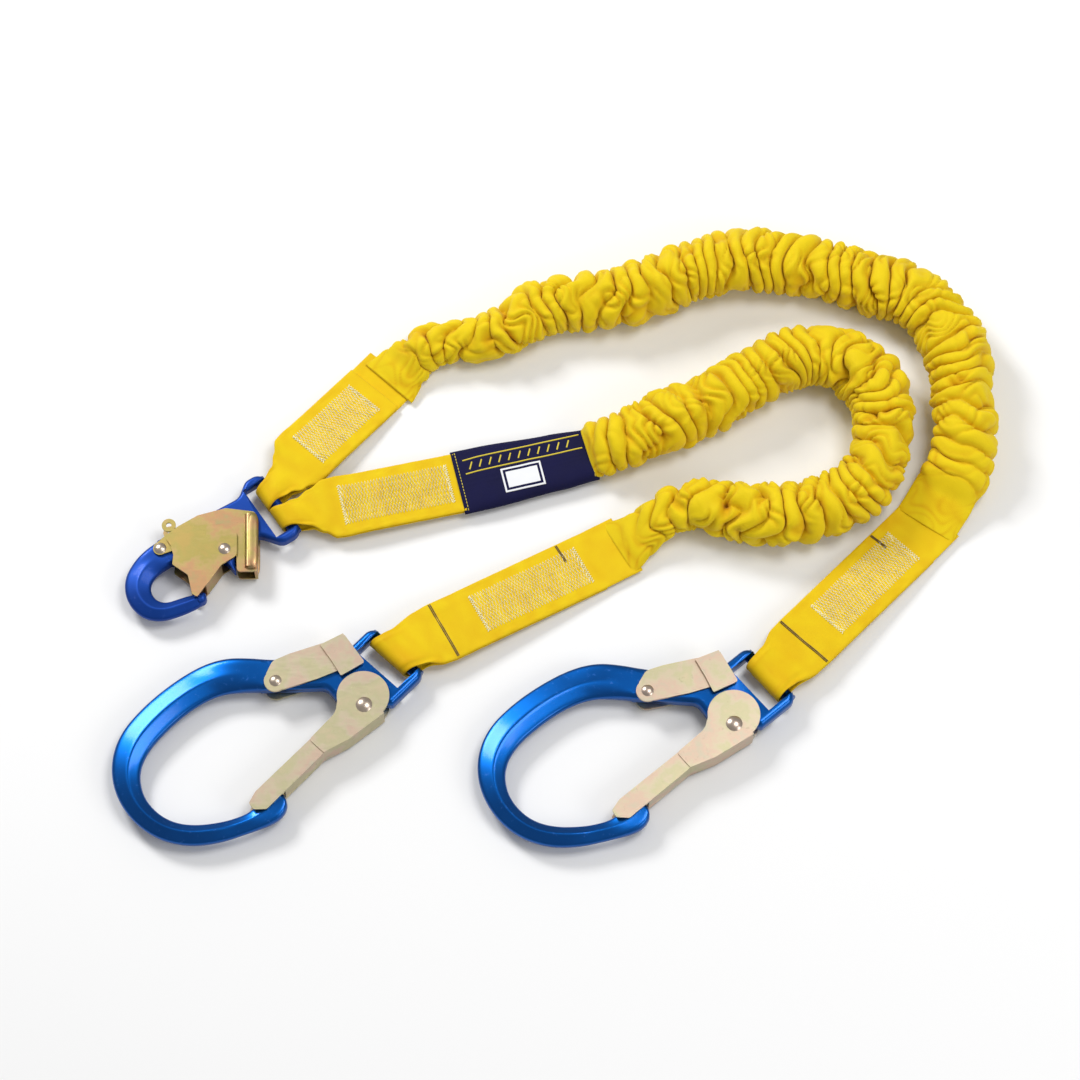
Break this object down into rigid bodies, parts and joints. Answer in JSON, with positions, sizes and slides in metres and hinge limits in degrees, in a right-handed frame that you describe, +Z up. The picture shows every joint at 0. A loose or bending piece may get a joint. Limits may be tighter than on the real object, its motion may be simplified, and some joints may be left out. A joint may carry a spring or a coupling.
{
  "type": "shock absorbing lanyard",
  "caption": "Twin-leg elastic shock absorbing lanyard with gathered webbing legs, a harness snap hook and two large rebar hooks with self-closing, self-locking gates.",
  "frame": {"origin": "floor point under the middle of the box round the hooks and sewn straps, measured without the two gathered legs", "axes": "+Z up from the floor that the lanyard lies on, +X across the layout from the harness end towards the far bend of the legs, +Y from the rebar hooks towards the legs"},
  "size_m": [0.7032, 0.5308, 0.046],
  "materials": {
    "yellow_webbing": "woven polyester, soft sheen",
    "pale_thread": "bonded nylon thread",
    "dark_thread": "bonded nylon thread",
    "absorber_web": "partially oriented yarn web",
    "elastic_web": "natural rubber strands in a woven cover",
    "navy_sleeve": "coated woven nylon",
    "white_label": "heat-pressed film",
    "label_booklet": "folded vinyl sheet",
    "blue_rebar_hook": "glossy blue anodised",
    "blue_snap_hook": "satin blue coat",
    "plated_steel": "yellow zinc plate",
    "rivet_steel": "zinc plate",
    "spring_steel": "spring temper"
  },
  "bodies": {
    "webbing": {"absorber_sleeve": "navy_sleeve", "leg_a_absorber_core": "absorber_web", "leg_a_elastic_band": "elastic_web", "leg_a_gathered_cover": "yellow_webbing", "leg_a_rebar_marking_seam": "dark_thread", "leg_a_rebar_stitching": "pale_thread", "leg_a_rebar_strap": "yellow_webbing", "leg_a_snap_stitching": "pale_thread", "leg_a_snap_strap": "yellow_webbing", "leg_b_absorber_core": "absorber_web", "leg_b_elastic_band": "elastic_web", "leg_b_gathered_cover": "yellow_webbing", "leg_b_rebar_marking_seam": "dark_thread", "leg_b_rebar_stitching": "pale_thread", "leg_b_rebar_strap": "yellow_webbing", "leg_b_snap_stitching": "pale_thread", "leg_b_snap_strap": "yellow_webbing", "sleeve_face_label": "white_label", "sleeve_label_booklet": "label_booklet"},
    "left_rebar_hook": {"left_rebar_hook_body": "blue_rebar_hook", "left_rebar_hook_gate_rivet": "rivet_steel", "left_rebar_hook_lever_rivet": "rivet_steel"},
    "left_rebar_hook_gate": {"left_rebar_hook_gate": "plated_steel", "left_rebar_hook_gate_spring": "spring_steel"},
    "left_rebar_hook_lock": {"left_rebar_hook_lock_lever": "plated_steel", "left_rebar_hook_lever_spring": "spring_steel"},
    "right_rebar_hook": {"right_rebar_hook_body": "blue_rebar_hook", "right_rebar_hook_gate_rivet": "rivet_steel", "right_rebar_hook_lever_rivet": "rivet_steel"},
    "right_rebar_hook_gate": {"right_rebar_hook_gate": "plated_steel", "right_rebar_hook_gate_spring": "spring_steel"},
    "right_rebar_hook_lock": {"right_rebar_hook_lock_lever": "plated_steel", "right_rebar_hook_lever_spring": "spring_steel"},
    "snap_hook": {"snap_hook_body": "blue_snap_hook", "snap_hook_gate_rivet": "rivet_steel", "snap_hook_lever_rivet": "rivet_steel"},
    "snap_hook_gate": {"snap_hook_gate": "plated_steel", "snap_hook_gate_spring": "spring_steel"},
    "snap_hook_lock": {"snap_hook_lock_lever": "plated_steel", "snap_hook_lever_spring": "spring_steel"}
  },
  "joints": [
    {"name": "left_rebar_hook_swing", "type": "hinge", "parent": "webbing", "child": "left_rebar_hook", "pos_m": [-0.10692, -0.054, 0.0118], "axis": [-0.7278, 0.6858, 0], "range_deg": [-60, 60]},
    {"name": "left_rebar_hook_gate_open", "type": "hinge", "parent": "left_rebar_hook", "child": "left_rebar_hook_gate", "pos_m": [-0.1305, -0.0998, 0.0118], "axis": [0, 0, -1], "range_deg": [0, 27.5], "stiffness_Nm_per_rad": 0.4, "springref_deg": -34.38},
    {"name": "left_rebar_hook_lock_press", "type": "hinge", "parent": "left_rebar_hook", "child": "left_rebar_hook_lock", "pos_m": [-0.20007, -0.07958, 0.0118], "axis": [0, 0, -1], "range_deg": [0, 5], "stiffness_Nm_per_rad": 1, "springref_deg": -17.19},
    {"name": "right_rebar_hook_swing", "type": "hinge", "parent": "webbing", "child": "right_rebar_hook", "pos_m": [0.18566, -0.07277, 0.0118], "axis": [-0.6481, 0.7615, 0], "range_deg": [-60, 60]},
    {"name": "right_rebar_hook_gate_open", "type": "hinge", "parent": "right_rebar_hook", "child": "right_rebar_hook_gate", "pos_m": [0.1572, -0.1157, 0.0118], "axis": [0, 0, -1], "range_deg": [0, 27.5], "stiffness_Nm_per_rad": 0.4, "springref_deg": -34.38},
    {"name": "right_rebar_hook_lock_press", "type": "hinge", "parent": "right_rebar_hook", "child": "right_rebar_hook_lock", "pos_m": [0.09027, -0.08797, 0.0118], "axis": [0, 0, -1], "range_deg": [0, 5], "stiffness_Nm_per_rad": 1, "springref_deg": -17.19},
    {"name": "snap_hook_swing", "type": "hinge", "parent": "webbing", "child": "snap_hook", "pos_m": [-0.20353, 0.0754, 0.0118], "axis": [-0.5592, 0.829, 0], "range_deg": [-60, 60]},
    {"name": "snap_hook_gate_open", "type": "hinge", "parent": "snap_hook", "child": "snap_hook_gate", "pos_m": [-0.2438, 0.0337, 0.0118], "axis": [0, 0, -1], "range_deg": [0, 27], "stiffness_Nm_per_rad": 0.2, "springref_deg": -34.38},
    {"name": "snap_hook_lock_press", "type": "hinge", "parent": "snap_hook", "child": "snap_hook_lock", "pos_m": [-0.29495, 0.03478, 0.0118], "axis": [0, 0, 1], "range_deg": [0, 6], "stiffness_Nm_per_rad": 0.6, "springref_deg": -17.19}
  ]
}
